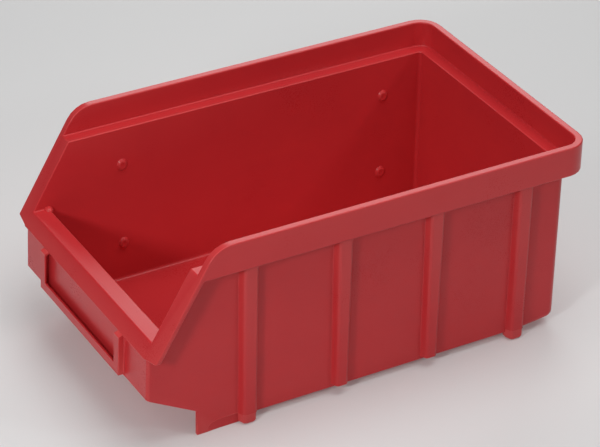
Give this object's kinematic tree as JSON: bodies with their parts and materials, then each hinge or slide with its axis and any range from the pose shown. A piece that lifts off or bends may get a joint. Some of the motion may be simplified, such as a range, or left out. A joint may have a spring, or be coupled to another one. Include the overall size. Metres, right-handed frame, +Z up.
{
  "type": "stackable storage bin",
  "caption": "Small open-fronted stackable picking bin with slanted front flanges, label frame, side ribs and a stacking rim.",
  "frame": {"origin": "centre of the footprint, on the surface that the feet stand on", "axes": "+Z up, +Y from the open front to the back wall, +X to the right seen from in front of the open front looking at the back wall"},
  "size_m": [0.105, 0.1682, 0.075],
  "materials": {
    "bin_plastic": "satin injection-moulded polypropylene, opaque red, lightly polished outside"
  },
  "bodies": {
    "root": {"collar_left": "bin_plastic", "collar_rear": "bin_plastic", "collar_right": "bin_plastic", "edge_flange_left": "bin_plastic", "edge_flange_right": "bin_plastic", "floor_panel": "bin_plastic", "front_lip": "bin_plastic", "front_ramp": "bin_plastic", "front_wall": "bin_plastic", "inner_pip_left_1": "bin_plastic", "inner_pip_left_2": "bin_plastic", "inner_pip_left_3": "bin_plastic", "inner_pip_left_4": "bin_plastic", "inner_pip_right_1": "bin_plastic", "inner_pip_right_2": "bin_plastic", "inner_pip_right_3": "bin_plastic", "inner_pip_right_4": "bin_plastic", "label_frame_bottom": "bin_plastic", "label_frame_left": "bin_plastic", "label_frame_right": "bin_plastic", "ledge_left": "bin_plastic", "ledge_rear": "bin_plastic", "ledge_right": "bin_plastic", "rear_rib_left": "bin_plastic", "rear_rib_right": "bin_plastic", "rear_wall": "bin_plastic", "side_rib_left_1": "bin_plastic", "side_rib_left_2": "bin_plastic", "side_rib_left_3": "bin_plastic", "side_rib_left_4": "bin_plastic", "side_rib_right_1": "bin_plastic", "side_rib_right_2": "bin_plastic", "side_rib_right_3": "bin_plastic", "side_rib_right_4": "bin_plastic", "side_wall_left": "bin_plastic", "side_wall_right": "bin_plastic", "stacking_foot_left_front": "bin_plastic", "stacking_foot_left_rear": "bin_plastic", "stacking_foot_right_front": "bin_plastic", "stacking_foot_right_rear": "bin_plastic", "stacking_skirt_left": "bin_plastic", "stacking_skirt_right": "bin_plastic"}
  },
  "joints": []
}
